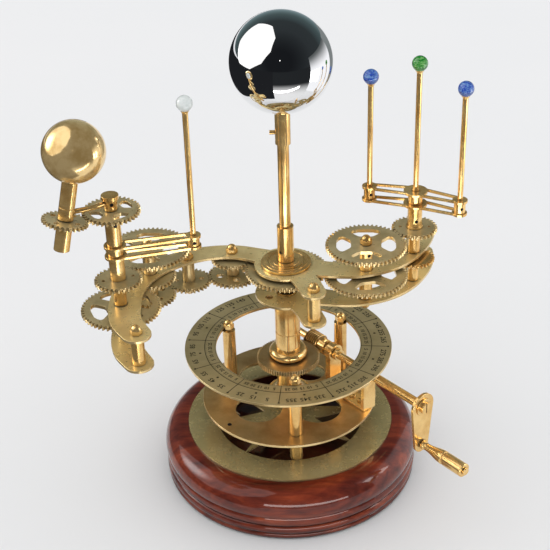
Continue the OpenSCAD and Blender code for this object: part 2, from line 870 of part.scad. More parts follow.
module left_tube_gear() {
    color(plate_brass) at(left_pos) plate_at(top_gears_z, gear_t)
        gear_2d(left_tube_n, module_train, left_tube_phase, left_tube_r - 1.2 + fixed_gap)
            ring_holes(2, 10, 1.1, 20);
}

module ball_drive_gear() {
    color(plate_brass) at(left_pos) plate_at(ball_drive_z, gear_t)
        gear_2d(ball_drive_n, module_train, 0, left_tube_r - 1.2 + fixed_gap) four_windows(7.5, 14.2, 30, 40);
}

// Outline of one slotted arm from a hub disc out to an end disc
module slotted_arm(hub_disc_r, end_disc_r, reach) {
    bar = 1.7;
    inner = hub_disc_r * 0.62;
    outer = end_disc_r * 0.62;
    for (s = [-1, 1])
        polygon([[0, s * (inner + bar / 2)], [reach, s * (outer + bar / 2)],
                 [reach, s * (outer - bar / 2)], [0, s * (inner - bar / 2)]]);
    translate([reach, 0]) circle(r = end_disc_r, $fn = 48);
}

module left_yoke() {
    hub_disc_r = 7.3;
    color(brass) at(left_pos) for (z = left_yoke_z) plate_at(z, yoke_t) difference() {
        union() {
            circle(r = hub_disc_r, $fn = 48);
            rotate(left_rod_dir) slotted_arm(hub_disc_r, 5, left_rod_reach);
        }
        circle(r = left_tube_r + fixed_gap, $fn = fine);
        rotate(left_rod_dir) translate([left_rod_reach, 0]) circle(r = rod_r + fixed_gap, $fn = 32);
    }
}

// Planet rod: hub between the yoke plates, thin rod, and a cup for the marble
module planet_rod(yoke_z, marble_z, hub_r = 4) {
    cup_r = 3.2;
    cup_z = marble_z - sqrt(pow(marble_r, 2) - pow(cup_r, 2));
    difference() {
        union() {
            rod(rod_r, yoke_z[0] - 1, marble_z - marble_r + 0.4);
            rod(hub_r, yoke_z[0] + yoke_t, yoke_z[1]);
            translate([0, 0, cup_z - 2.2]) cylinder(r1 = rod_r, r2 = cup_r, h = 2.2, $fn = fine);
        }
        translate([0, 0, marble_z]) sphere(r = marble_r + fixed_gap, $fn = fine);
    }
}

module left_rod() {
    color(bright_brass) at(left_rod_pos) planet_rod(left_yoke_z, left_marble_z);
}

module left_marble() {
    color("#e8eef0") at(left_rod_pos, left_marble_z) sphere(r = marble_r, $fn = fine);
}

// ---------- gold ball unit ----------

ball_seat = gold_ball_at - sqrt(pow(gold_ball_r, 2) - pow(stem_r, 2));

// Stem in two thick lengths on one pin, above the bush and below the gear
module ball_stem() {
    color(bright_brass) on_ball_axis() union() {
        rod(stem_r, stem_low, -ball_gear_t / 2);
        rod(stem_pin_r, -ball_gear_t / 2, bush_high + 0.2);
        rod(stem_r, bush_high + 0.2, ball_seat);
    }
}

module ball_gear() {
    color(plate_brass) on_ball_axis() plate_at(-ball_gear_t / 2, ball_gear_t)
        gear_2d(ball_n, module_train, ball_phase, stem_pin_r + fixed_gap) ring_holes(4, 9.2, 1.8, 30);
}

module gold_ball() {
    color(bright_brass) on_ball_axis() difference() {
        translate([0, 0, gold_ball_at]) sphere(r = gold_ball_r, $fn = fine * 2);
        translate([0, 0, gold_ball_at]) sphere(r = gold_ball_r - ball_wall, $fn = fine * 2);
        rod(stem_r + 1, ball_seat - 10, ball_seat);
    }
}

// ---------- right side ----------

module right_hub() {
    color(bright_brass) at(right_pos) difference() {
        union() {
            rod(sleeve_r, lower_top + 0.2, top_gears_z);
            rod(sleeve_r - 0.8, top_gears_z, top_gears_z + gear_t);
        }
        rod(stud_r + run_gap, lower_z, 200);
    }
}

module right_lower_gear() {
    color(plate_brass) at(right_pos) plate_at(high_gears_z, gear_t)
        gear_2d(right_lower_n, module_train, right_lower_phase, sleeve_r + fixed_gap)
            four_windows(10.5, 21.5, turn = 10);
}

module right_upper_gear() {
    color(plate_brass) at(right_pos) plate_at(top_gears_z, gear_t)
        gear_2d(right_upper_n, module_train, 0, sleeve_r - 0.8 + fixed_gap)
            four_windows(10.5, 21);
}

// Spindle with its pinion: it carries the tall middle rod
module right_spindle() {
    cup_r = 3.2;
    cup_z = centre_marble_z - sqrt(pow(marble_r, 2) - pow(cup_r, 2));
    color(bright_brass) at(right_post) difference() {
        union() {
            rod(right_spindle_r, lower_z, right_yoke_z[1] + yoke_t + 1.5);
            rod(sleeve_r - 0.6, lower_top + 0.3, high_gears_z);
            rod(sleeve_r, high_gears_z + gear_t, upper_top + 0.3);
            plate_at(high_gears_z, gear_t) polygon(
                gear_outline(right_spindle_n, module_train, right_spindle_phase, flank_gap));
            rod(rod_r, right_yoke_z[1], centre_marble_z - marble_r + 0.4);
            translate([0, 0, cup_z - 2.2]) cylinder(r1 = rod_r, r2 = cup_r, h = 2.2, $fn = fine);
        }
        translate([0, 0, centre_marble_z]) sphere(r = marble_r + fixed_gap, $fn = fine);
    }
}

module centre_marble() {
    color("#46b83c") at(right_post, centre_marble_z) sphere(r = marble_r, $fn = fine);
}

module right_sleeve() {
    color(bright_brass) at(right_post) difference() {
        union() {
            rod(right_sleeve_r - 0.8, upper_top + 0.6, top_gears_z);
            rod(right_sleeve_r - 1.2, top_gears_z, top_gears_z + gear_t);
            rod(right_sleeve_r + 0.7, top_gears_z + gear_t, top_gears_z + gear_t + 2);
            rod(right_sleeve_r, top_gears_z + gear_t, right_yoke_z[1]);
        }
        rod(right_spindle_r + run_gap, upper_top, 250);
    }
}

module right_sleeve_gear() {
    color(plate_brass) at(right_post) plate_at(top_gears_z, gear_t)
        gear_2d(right_sleeve_n, module_train, right_sleeve_phase, right_sleeve_r - 1.2 + fixed_gap)
            ring_holes(2, 10, 1.1, 0);
}

module right_yoke() {
    hub_disc_r = 8.3;
    color(brass) at(right_post) for (i = [0, 1]) plate_at(right_yoke_z[i], yoke_t) difference() {
        union() {
            circle(r = hub_disc_r, $fn = 48);
            for (a = right_rod_dirs) rotate(a) slotted_arm(hub_disc_r, 5.2, right_rod_reach);
        }
        circle(r = i == 0 ? right_sleeve_r + fixed_gap : right_spindle_r + run_gap, $fn = fine);
        for (a = right_rod_dirs) rotate(a) translate([right_rod_reach, 0])
            circle(r = rod_r + fixed_gap, $fn = 32);
    }
}

module right_rods() {
    color(bright_brass) for (a = right_rod_dirs)
        at(right_post + polar(right_rod_reach, a)) planet_rod(right_yoke_z, right_marble_z);
}

module right_marbles() {
    color("#2f5fd0") for (a = right_rod_dirs)
        at(right_post + polar(right_rod_reach, a), right_marble_z) sphere(r = marble_r, $fn = fine);
}

felt_pad();
wood_base();
base_plate();
mid_plate();
lower_pillars();
upper_pillars();
ring_nuts();
calendar_ring();
column_bearing();
inner_bracket();
outer_bracket();
base_screws();
centre_arbor();
sun_gear();
mast_clamp();
mast();
silver_ball();
worm_wheel();
column();
lower_plate();
upper_plate();
frame_flange();
crescent_plate();
frame_pillars();
frame_nuts();
gear_studs();
crank_shaft();
worm();
crank_arm();
crank_screws();
handle();
gear_a_small();
gear_a_large();
gear_b();
gear_c_low();
gear_c_high();
gear_c_top();
left_spindle();
left_spindle_gear();
ball_arm();
left_tube();
left_tube_gear();
left_yoke();
left_rod();
left_marble();
ball_drive_gear();
ball_stem();
ball_gear();
gold_ball();
right_hub();
right_lower_gear();
right_upper_gear();
right_spindle();
centre_marble();
right_sleeve();
right_sleeve_gear();
right_yoke();
right_rods();
right_marbles();
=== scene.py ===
"""Looks of the hand-cranked orrery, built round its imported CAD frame.

Metres, in the CAD's own frame: +Z up, origin at the middle of the underside of the base.
Most CAD nodes are dressed: a copy of the node gets rounded edges and a material.
The wood, the balls, the marbles, the handle and the bent arm are built anew at a finer grain.
"""

import json
import math

import bmesh
import bpy
from mathutils import Matrix, Vector


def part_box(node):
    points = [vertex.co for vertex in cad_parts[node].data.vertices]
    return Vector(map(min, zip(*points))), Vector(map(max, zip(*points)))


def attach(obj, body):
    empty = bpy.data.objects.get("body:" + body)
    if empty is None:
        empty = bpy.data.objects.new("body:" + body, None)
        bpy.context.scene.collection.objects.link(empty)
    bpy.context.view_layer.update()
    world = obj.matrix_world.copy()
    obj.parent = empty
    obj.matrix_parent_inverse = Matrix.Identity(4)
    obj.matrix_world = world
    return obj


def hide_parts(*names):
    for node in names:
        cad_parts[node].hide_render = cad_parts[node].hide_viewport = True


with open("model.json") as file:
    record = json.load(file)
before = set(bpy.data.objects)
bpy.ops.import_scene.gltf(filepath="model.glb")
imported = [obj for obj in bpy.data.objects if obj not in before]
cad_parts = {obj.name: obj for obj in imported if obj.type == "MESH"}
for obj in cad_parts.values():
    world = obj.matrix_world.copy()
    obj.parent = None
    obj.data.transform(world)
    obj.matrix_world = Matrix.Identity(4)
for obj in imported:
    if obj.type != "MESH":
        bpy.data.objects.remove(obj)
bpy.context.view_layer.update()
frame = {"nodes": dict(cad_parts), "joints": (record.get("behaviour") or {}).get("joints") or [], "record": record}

MM = 0.001
NODES = frame["nodes"]
BODIES = frame["record"]["behaviour"]["bodies"]
BODY_OF = {node: body for body, names in BODIES.items() for node in names}
JOINTS = {joint["name"]: joint for joint in frame["joints"]}
UP = Vector((0, 0, 1))


# ---------- shader helpers ----------


def link(tree, source, target):
    tree.links.new(source, target)


def add_node(tree, kind, **settings):
    made = tree.nodes.new(kind)
    for key, value in settings.items():
        setattr(made, key, value)
    return made


def principled(name, **sockets):
    """A new material and its Principled shader, with constants set on the shader's own sockets."""
    material = bpy.data.materials.new(name)
    material.use_nodes = True
    shader = material.node_tree.nodes["Principled BSDF"]
    for key, value in sockets.items():
        shader.inputs[key.replace("_", " ")].default_value = value
    return material, material.node_tree, shader


def rgb(red, green, blue):
    return (red, green, blue, 1.0)


def place(tree, stretch=(1, 1, 1)):
    """Object coordinates, stretched along each axis."""
    coordinates = add_node(tree, "ShaderNodeTexCoord")
    mapping = add_node(tree, "ShaderNodeMapping")
    mapping.inputs["Scale"].default_value = stretch
    link(tree, coordinates.outputs["Object"], mapping.inputs["Vector"])
    return mapping.outputs["Vector"]


def radial_place(tree, along=1.0, round_scale=0.02):
    """Coordinates that run fast across a turned face and slowly round it."""
    coordinates = add_node(tree, "ShaderNodeTexCoord")
    split = add_node(tree, "ShaderNodeSeparateXYZ")
    link(tree, coordinates.outputs["Object"], split.inputs[0])
    squares = []
    for axis in ("X", "Y"):
        square = add_node(tree, "ShaderNodeMath", operation="MULTIPLY")
        link(tree, split.outputs[axis], square.inputs[0])
        link(tree, split.outputs[axis], square.inputs[1])
        squares.append(square)
    total = add_node(tree, "ShaderNodeMath", operation="ADD")
    link(tree, squares[0].outputs[0], total.inputs[0])
    link(tree, squares[1].outputs[0], total.inputs[1])
    radius = add_node(tree, "ShaderNodeMath", operation="SQRT")
    link(tree, total.outputs[0], radius.inputs[0])
    scaled = add_node(tree, "ShaderNodeMath", operation="MULTIPLY")
    scaled.inputs[1].default_value = along
    link(tree, radius.outputs[0], scaled.inputs[0])
    slow = add_node(tree, "ShaderNodeVectorMath", operation="SCALE")
    slow.inputs["Scale"].default_value = round_scale
    link(tree, coordinates.outputs["Object"], slow.inputs[0])
    join = add_node(tree, "ShaderNodeCombineXYZ")
    link(tree, scaled.outputs[0], join.inputs["X"])
    both = add_node(tree, "ShaderNodeVectorMath", operation="ADD")
    link(tree, join.outputs[0], both.inputs[0])
    link(tree, slow.outputs[0], both.inputs[1])
    return both.outputs[0]


def noise(tree, where, scale, detail=3.0, roughness=0.5, distortion=0.0):
    made = add_node(tree, "ShaderNodeTexNoise")
    made.inputs["Scale"].default_value = scale
    made.inputs["Detail"].default_value = detail
    made.inputs["Roughness"].default_value = roughness
    made.inputs["Distortion"].default_value = distortion
    link(tree, where, made.inputs["Vector"])
    return made.outputs["Fac"]


def ramp(tree, value, stops):
    made = add_node(tree, "ShaderNodeValToRGB")
    elements = made.color_ramp.elements
    while len(elements) < len(stops):
        elements.new(0.5)
    for element, (position, colour) in zip(elements, stops):
        element.position = position
        element.color = colour
    link(tree, value, made.inputs["Fac"])
    return made.outputs["Color"]


def spread(tree, value, low, high, start=0.0, end=1.0):
    """Map a value from start..end to low..high."""
    made = add_node(tree, "ShaderNodeMapRange")
    made.inputs["From Min"].default_value = start
    made.inputs["From Max"].default_value = end
    made.inputs["To Min"].default_value = low
    made.inputs["To Max"].default_value = high
    link(tree, value, made.inputs["Value"])
    return made.outputs["Result"]


def blend_colours(tree, factor, first, second, mode="MIX"):
    made = add_node(tree, "ShaderNodeMix", data_type="RGBA", blend_type=mode)
    for index, source in ((6, first), (7, second)):
        if isinstance(source, tuple):
            made.inputs[index].default_value = source
        else:
            link(tree, source, made.inputs[index])
    if isinstance(factor, float):
        made.inputs[0].default_value = factor
    else:
        link(tree, factor, made.inputs[0])
    return made.outputs[2]


def bump(tree, shader, height, distance, strength=1.0, socket="Normal"):
    made = add_node(tree, "ShaderNodeBump")
    made.inputs["Strength"].default_value = strength
    made.inputs["Distance"].default_value = distance
    link(tree, height, made.inputs["Height"])
    link(tree, made.outputs["Normal"], shader.inputs[socket])


def painted_gap_shade(tree, colour, dark, reach, unshaded_from=0.8):
    """Paints shade into a colour where surfaces crowd each other: painted shade from the nearby surfaces that
    block the light.
    """
    shade = add_node(tree, "ShaderNodeAmbientOcclusion", samples=16)
    shade.inputs["Distance"].default_value = reach
    # How much painted shade: full in the deepest gaps, none on open surfaces.
    amount = spread(tree, shade.outputs["AO"], 1.0, 0.0, 0.15, unshaded_from)
    return blend_colours(tree, amount, colour, dark)


# ---------- materials ----------


def metal(
    name, colour, stain, roughness, spread_by=0.05, stain_size=0.018, brush=None, grain=0.00001,
    reach=0.0035, unshaded_from=0.8, scatter=0.0,
):
    """Metal with clouds of tarnish, uneven gloss and fine marks. brush is None, "turned" or "drawn".

    Clouds are about stain_size metres wide and the marks grain metres deep. Painted shade darkens the
    colour in gaps narrower than reach, and the argument after reach says how open a surface is where the
    painted shade ends. scatter is the share of light that the fine scratches and the old lacquer throw
    evenly to all sides.
    """
    material, tree, shader = principled(name, Metallic=1.0 - scatter)
    where = place(tree)
    clouds = noise(tree, where, 1 / stain_size, detail=4, roughness=0.6)
    tone = ramp(tree, clouds, [(0.36, rgb(*stain)), (0.60, rgb(*colour))])
    # Painted shade: a dark copy of the stain colour, laid into the gaps.
    dark = rgb(*(0.22 * value for value in stain))
    link(tree, painted_gap_shade(tree, tone, dark, reach, unshaded_from), shader.inputs["Base Color"])
    smudges = noise(tree, where, 160, detail=5, roughness=0.65)
    gloss = spread(tree, smudges, roughness - spread_by, roughness + spread_by, 0.3, 0.7)
    link(tree, gloss, shader.inputs["Roughness"])
    if brush == "turned":
        marks = noise(tree, radial_place(tree, 1.0), 2600, detail=2)
    elif brush == "drawn":
        marks = noise(tree, place(tree, (1, 14, 14)), 420, detail=3)
    else:
        marks = noise(tree, where, 900, detail=3)
    bump(tree, shader, marks, grain)
    return material


def wood_material():
    """Red-brown mahogany: mottled figure, long grain, fine pores, and a clear gloss coat."""
    material, tree, shader = principled(
        "mahogany", Roughness=0.45, Specular_IOR_Level=0.1,
        Coat_Weight=1.0, Coat_Roughness=0.04, Coat_IOR=1.42,
    )
    figure = noise(tree, place(tree, (0.55, 1.5, 2.2)), 26, detail=4, roughness=0.55, distortion=1.1)
    tone = ramp(
        tree,
        figure,
        [
            (0.28, rgb(0.070, 0.0085, 0.0038)),
            (0.44, rgb(0.150, 0.0185, 0.0064)),
            (0.58, rgb(0.240, 0.0350, 0.0100)),
            (0.76, rgb(0.350, 0.0620, 0.0170)),
        ],
    )
    streaks = noise(tree, place(tree, (0.12, 1, 1)), 330, detail=4, roughness=0.6, distortion=0.4)
    lines = ramp(tree, streaks, [(0.35, rgb(0.48, 0.40, 0.38)), (0.62, rgb(1.0, 1.0, 1.0))])
    grained = blend_colours(tree, 0.7, tone, lines, "MULTIPLY")
    # Painted shade: the wood goes near black within 5 cm of surfaces that crowd it.
    shaded = painted_gap_shade(tree, grained, rgb(0.004, 0.003, 0.003), 0.05)
    link(tree, shaded, shader.inputs["Base Color"])
    pores = noise(tree, place(tree, (0.08, 1, 1)), 1500, detail=2)
    bump(tree, shader, pores, 0.00002, 0.5)
    return material


def felt_material():
    material, tree, shader = principled("green_felt", Roughness=0.95, Sheen_Weight=0.6)
    fibres = noise(tree, place(tree), 2600, detail=4)
    tone = ramp(tree, fibres, [(0.3, rgb(0.010, 0.028, 0.016)), (0.7, rgb(0.030, 0.075, 0.042))])
    link(tree, tone, shader.inputs["Base Color"])
    bump(tree, shader, fibres, 0.0002)
    return material


def glass_material(name, deep, pale, transmission):
    """Marble glass with a paler swirl wound through the colour."""
    material, tree, shader = principled(
        name, Roughness=0.03, IOR=1.5, Transmission_Weight=transmission, Coat_Weight=0.5
    )
    swirl = noise(tree, place(tree, (1, 1, 2.5)), 240, detail=2, distortion=2.5)
    tone = ramp(tree, swirl, [(0.42, rgb(*deep)), (0.66, rgb(*pale))])
    link(tree, tone, shader.inputs["Base Color"])
    return material


def ink_material():
    material, tree, shader = principled("engraving_fill", Specular_IOR_Level=0.1)
    wear = noise(tree, place(tree), 700, detail=3)
    tone = ramp(tree, wear, [(0.35, rgb(0.008, 0.008, 0.007)), (0.80, rgb(0.035, 0.032, 0.024))])
    link(tree, tone, shader.inputs["Base Color"])
    link(tree, spread(tree, wear, 0.35, 0.7), shader.inputs["Roughness"])
    return material


def black_steel_material():
    material, tree, shader = principled("blackened_steel", Metallic=0.8)
    wear = noise(tree, place(tree), 1800, detail=3)
    tone = ramp(tree, wear, [(0.4, rgb(0.008, 0.008, 0.009)), (0.8, rgb(0.05, 0.05, 0.05))])
    link(tree, tone, shader.inputs["Base Color"])
    link(tree, spread(tree, wear, 0.3, 0.5), shader.inputs["Roughness"])
    return material


POLISHED = metal("polished_brass", (0.98, 0.67, 0.27), (0.74, 0.43, 0.13), 0.17, grain=0.000003, scatter=0.24)
SATIN = metal("satin_brass", (0.72, 0.48, 0.21), (0.54, 0.32, 0.12), 0.34, grain=0.000002, scatter=0.18)
PLATE = metal(
    "plate_brass", (0.95, 0.76, 0.36), (0.72, 0.54, 0.23), 0.29,
    spread_by=0.04, stain_size=0.03, brush="drawn", grain=0.000003, scatter=0.46,
)
GEAR = metal(
    "gear_brass", (0.64, 0.52, 0.27), (0.46, 0.36, 0.17), 0.32,
    spread_by=0.06, stain_size=0.02, brush="drawn", grain=0.000006, scatter=0.48,
)
EDGE = metal(
    "edge_brass", (0.90, 0.68, 0.34), (0.56, 0.40, 0.17), 0.22,
    grain=0.000005, reach=0.002, unshaded_from=1.0, scatter=0.30,
)
DIAL = metal(
    "dial_brass", (0.56, 0.45, 0.23), (0.43, 0.34, 0.16), 0.33,
    spread_by=0.05, stain_size=0.03, brush="turned", grain=0.000005, scatter=0.45,
)
# Its painted shade reaches 3 cm, darkening the plate under the middle plate.
FLOOR_PLATE = metal(
    "base_plate_brass", (0.66, 0.55, 0.26), (0.52, 0.42, 0.18), 0.26,
    spread_by=0.04, stain_size=0.05, brush="turned", grain=0.000002, reach=0.03, scatter=0.45,
)
GOLD = metal(
    "gold_ball", (0.96, 0.70, 0.33), (0.70, 0.46, 0.17), 0.14,
    spread_by=0.06, stain_size=0.010, grain=0.000010, scatter=0.32,
)
SILVER = metal(
    "silver", (0.93, 0.93, 0.94), (0.86, 0.87, 0.88), 0.025, spread_by=0.015, stain_size=0.03, grain=0.0
)
WOOD = wood_material()
FELT = felt_material()
INK = ink_material()
BLACK = black_steel_material()
BLUE = glass_material("blue_glass", (0.02, 0.07, 0.55), (0.30, 0.55, 0.95), 0.55)
GREEN = glass_material("green_glass", (0.01, 0.28, 0.03), (0.35, 0.75, 0.25), 0.5)
CLEAR = glass_material("clear_glass", (0.86, 0.92, 0.90), (0.97, 1.0, 0.99), 0.30)


# ---------- mesh helpers ----------


def smooth(mesh, angle=32):
    """Smooth shading, with edges sharper than the angle kept sharp."""
    mesh.polygons.foreach_set("use_smooth", [True] * len(mesh.polygons))
    mesh.set_sharp_from_angle(angle=math.radians(angle))
    mesh.update()


def add_piece(name, mesh, material, body, replaced=()):
    piece = bpy.data.objects.new(name, mesh)
    bpy.context.scene.collection.objects.link(piece)
    if material is not None:
        mesh.materials.clear()
        mesh.materials.append(material)
    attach(piece, body)
    if replaced:
        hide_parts(*replaced)
    return piece


def mesh_from(bm, name):
    bmesh.ops.recalc_face_normals(bm, faces=bm.faces)
    mesh = bpy.data.meshes.new(name)
    bm.to_mesh(mesh)
    bm.free()
    return mesh


def arc(centre, radius, start, end, steps):
    """Points of an arc in a profile, in the profile's own units."""
    return [
        (
            centre[0] + radius * math.cos(math.radians(start + (end - start) * i / steps)),
            centre[1] + radius * math.sin(math.radians(start + (end - start) * i / steps)),
        )
        for i in range(steps + 1)
    ]


def axis_matrix(origin, axis):
    """Places a shape turned about Z at the origin and along the axis."""
    turn = UP.rotation_difference(Vector(axis).normalized()).to_matrix().to_4x4()
    return Matrix.Translation(Vector(origin)) @ turn


def revolve(bm, profile, steps, matrix=None):
    """Turns a profile of (radius, height) in millimetres about Z. Points on the axis become one vertex."""
    rings = []
    for radius, height in profile:
        if radius < 1e-6:
            rings.append([bm.verts.new((0, 0, height * MM))])
            continue
        rings.append(
            [
                bm.verts.new(
                    (
                        radius * MM * math.cos(2 * math.pi * i / steps),
                        radius * MM * math.sin(2 * math.pi * i / steps),
                        height * MM,
                    )
                )
                for i in range(steps)
            ]
        )
    pairs = list(zip(rings, rings[1:]))
    if profile[0][0] > 1e-6:
        pairs.append((rings[-1], rings[0]))
    for low, high in pairs:
        for i in range(steps):
            j = (i + 1) % steps
            corners = [low[i % len(low)], low[j % len(low)], high[j % len(high)], high[i % len(high)]]
            unique = list(dict.fromkeys(corners))
            if len(unique) > 2:
                bm.faces.new(unique)
    if matrix is not None:
        used = [vertex for ring in rings for vertex in ring]
        bmesh.ops.transform(bm, matrix=matrix, verts=used)


def tube_along(bm, points, radius, sides=24):
    """A closed round tube through the points."""
    rings = []
    for i, point in enumerate(points):
        way = (points[min(i + 1, len(points) - 1)] - points[max(i - 1, 0)]).normalized()
        side = way.cross(UP).normalized()
        top = side.cross(way)
        rings.append(
            [
                bm.verts.new(
                    point
                    + radius * math.cos(2 * math.pi * k / sides) * side
                    + radius * math.sin(2 * math.pi * k / sides) * top
                )
                for k in range(sides)
            ]
        )
    for low, high in zip(rings, rings[1:]):
        for k in range(sides):
            bm.faces.new([low[k], low[(k + 1) % sides], high[(k + 1) % sides], high[k]])
    bm.faces.new(rings[0])
    bm.faces.new(rings[-1])


def islands(node):
    """The boxes of a node's separate solids, left to right."""
    bm = bmesh.new()
    bm.from_mesh(NODES[node].data)
    bmesh.ops.remove_doubles(bm, verts=bm.verts, dist=1e-6)
    left = set(bm.verts)
    boxes = []
    while left:
        group = [left.pop()]
        for vertex in group:
            for edge in vertex.link_edges:
                other = edge.other_vert(vertex)
                if other in left:
                    left.remove(other)
                    group.append(other)
        low = Vector([min(v.co[k] for v in group) for k in range(3)])
        high = Vector([max(v.co[k] for v in group) for k in range(3)])
        boxes.append((low, high))
    bm.free()
    return sorted(boxes, key=lambda pair: pair[0].x)


# ---------- dressed CAD nodes ----------


def dress(node, material, rounding=0.14, edge=None, crease=75):
    """A copy of a CAD node with rounded edges. edge is a second material for its upright faces."""
    bm = bmesh.new()
    bm.from_mesh(NODES[node].data)
    bmesh.ops.remove_doubles(bm, verts=bm.verts, dist=2e-6)
    bmesh.ops.dissolve_limit(
        bm, angle_limit=math.radians(0.4), use_dissolve_boundaries=False, verts=bm.verts, edges=bm.edges
    )
    mesh = mesh_from(bm, node + "_mesh")
    piece = add_piece(node + "_finish", mesh, material, BODY_OF[node], [node])
    if edge is not None:
        mesh.materials.append(edge)
        for face in mesh.polygons:
            face.material_index = 1 if abs(face.normal.z) < 0.7 else 0
    smooth(mesh, crease)
    if rounding:
        bevel = piece.modifiers.new("rounded_edges", "BEVEL")
        bevel.width = rounding * MM
        bevel.segments = 2
        bevel.limit_method = "ANGLE"
        bevel.angle_limit = math.radians(38)
        bevel.use_clamp_overlap = True
    weighted = piece.modifiers.new("even_shading", "WEIGHTED_NORMAL")
    weighted.keep_sharp = True
    return piece


POLISHED_NODES = [
    "lower_pillars", "upper_pillars", "ring_nuts", "column_bearing", "inner_bracket", "outer_bracket",
    "base_screws", "centre_arbor", "mast_clamp", "mast", "column", "frame_flange", "frame_pillars",
    "frame_nuts", "gear_studs", "crank_shaft", "crank_arm", "crank_screws", "left_spindle",
    "left_tube", "left_yoke", "left_rod", "ball_stem", "right_hub", "right_spindle", "right_sleeve",
    "right_yoke", "right_rods",
]
GEAR_NODES = [
    "sun_gear", "gear_a_small", "gear_a_large", "gear_b", "gear_c_low", "gear_c_high", "gear_c_top",
    "left_spindle_gear", "left_tube_gear", "ball_drive_gear", "ball_gear", "right_lower_gear",
    "right_upper_gear", "right_sleeve_gear",
]
PLATE_NODES = ["lower_plate", "upper_plate", "crescent_plate"]


def dress_frame():
    """Finishes for the CAD nodes whose shapes are kept as they are."""
    for node in POLISHED_NODES:
        dress(node, POLISHED, 0.16)
    dress_worm()
    for node in GEAR_NODES:
        dress(node, GEAR, 0.08, EDGE)
    for node in PLATE_NODES:
        dress(node, PLATE, 0.2, EDGE)
    dress("worm_wheel", SATIN, 0.08, EDGE)
    dress("mid_plate", SATIN, 0.2, EDGE)
    dress("base_plate", FLOOR_PLATE, 0.2, EDGE)
    dress("calendar_ring", DIAL, 0.2, EDGE)


def dress_worm():
    """The worm, with painted shade in its thread: the faces at the root of the thread are black."""
    joint = JOINTS["crank_spin"]
    pivot, axis = Vector(joint["pos_m"]), Vector(joint["axis"]).normalized()
    piece = dress("worm", POLISHED, 0, crease=25)
    # Painted shade: faces near the root of the thread take the black steel.
    piece.data.materials.append(BLACK)
    for face in piece.data.polygons:
        out = face.center - pivot
        depth = (out - axis * out.dot(axis)).length / MM
        if 5.85 < depth < 6.45:
            face.material_index = 1


# ---------- rebuilt pieces ----------


def build_base():
    """The turned wooden base: three beads, a round shoulder, and the recess under the star."""
    low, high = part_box("wood_base")
    widest = high.x / MM
    foot = low.z / MM
    top = high.z / MM
    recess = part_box("centre_arbor")[0].z / MM
    recess_radius, chamfer = 54.5, 0.3
    shoulder = 14.0
    # Each bead: its foot, its top, the radius of its curve, and how far it lies inside the widest line
    beads = [(foot, 5.0, 2.6, 0.8), (5.0, 11.3, 4.0, 0.3), (11.3, 19.6, 6.0, 0.5)]
    profile = [(0, foot)]
    for start, end, radius, inset in beads:
        half = math.degrees(math.asin((end - start) / 2 / radius))
        profile += arc((widest - inset - radius, (start + end) / 2), radius, -half, half, 14)
    lowest = -math.degrees(math.asin((top - shoulder - beads[-1][1]) / shoulder))
    profile += arc((widest - shoulder, top - shoulder), shoulder, lowest, 90, 40)
    profile += [(recess_radius + chamfer, top), (recess_radius, top - chamfer)]
    profile += [(recess_radius, recess), (0, recess)]
    bm = bmesh.new()
    revolve(bm, profile, 256)
    mesh = mesh_from(bm, "wooden_base")
    add_piece("wooden_base", mesh, WOOD, "base", ["wood_base"])
    smooth(mesh, 38)


def build_felt():
    """The felt pad, with a worn lower edge."""
    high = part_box("felt_pad")[1]
    radius, thick = high.x / MM, high.z / MM
    worn = 0.3
    bm = bmesh.new()
    revolve(bm, [(0, 0), (radius - worn, 0), (radius, worn), (radius, thick), (0, thick)], 128)
    mesh = mesh_from(bm, "felt")
    add_piece("felt_underside", mesh, FELT, "base", ["felt_pad"])
    smooth(mesh)


def ball_centre(node):
    """Centre and radius of a ball node that may have a flat ground on its underside."""
    low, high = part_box(node)
    radius = (high.x - low.x) / 2
    return Vector(((low.x + high.x) / 2, (low.y + high.y) / 2, high.z - radius)), radius


def build_ball(name, node, material, axis, hole):
    """A fine ball that ends on a small flat, hole millimetres in radius, where its stem meets it."""
    centre, radius = ball_centre(node)
    radius_mm = radius / MM
    cut = math.degrees(math.acos(hole / radius_mm))
    bm = bmesh.new()
    flat = (0, -radius_mm * math.sin(math.radians(cut)))
    profile = [flat] + arc((0, 0), radius_mm, -cut, 90, 72)[:-1] + [(0, radius_mm)]
    revolve(bm, profile, 144, axis_matrix(centre, axis))
    mesh = mesh_from(bm, name)
    add_piece(name, mesh, material, BODY_OF[node], [node])
    smooth(mesh, 40)


def build_marbles():
    """The glass beads on the tips of the rods."""
    for node, material, slot in (
        ("left_marble", CLEAR, "clear_glass"),
        ("centre_marble", GREEN, "green_glass"),
        ("right_marbles", BLUE, "blue_glass"),
    ):
        bm = bmesh.new()
        for low, high in islands(node):
            radius = (high.x - low.x) / 2
            made = bmesh.ops.create_icosphere(bm, subdivisions=5, radius=radius)
            bmesh.ops.translate(bm, vec=(low + high) / 2, verts=made["verts"])
        mesh = mesh_from(bm, node + "_glass")
        add_piece(node + "_glass", mesh, material, BODY_OF[node], [node])
        smooth(mesh)


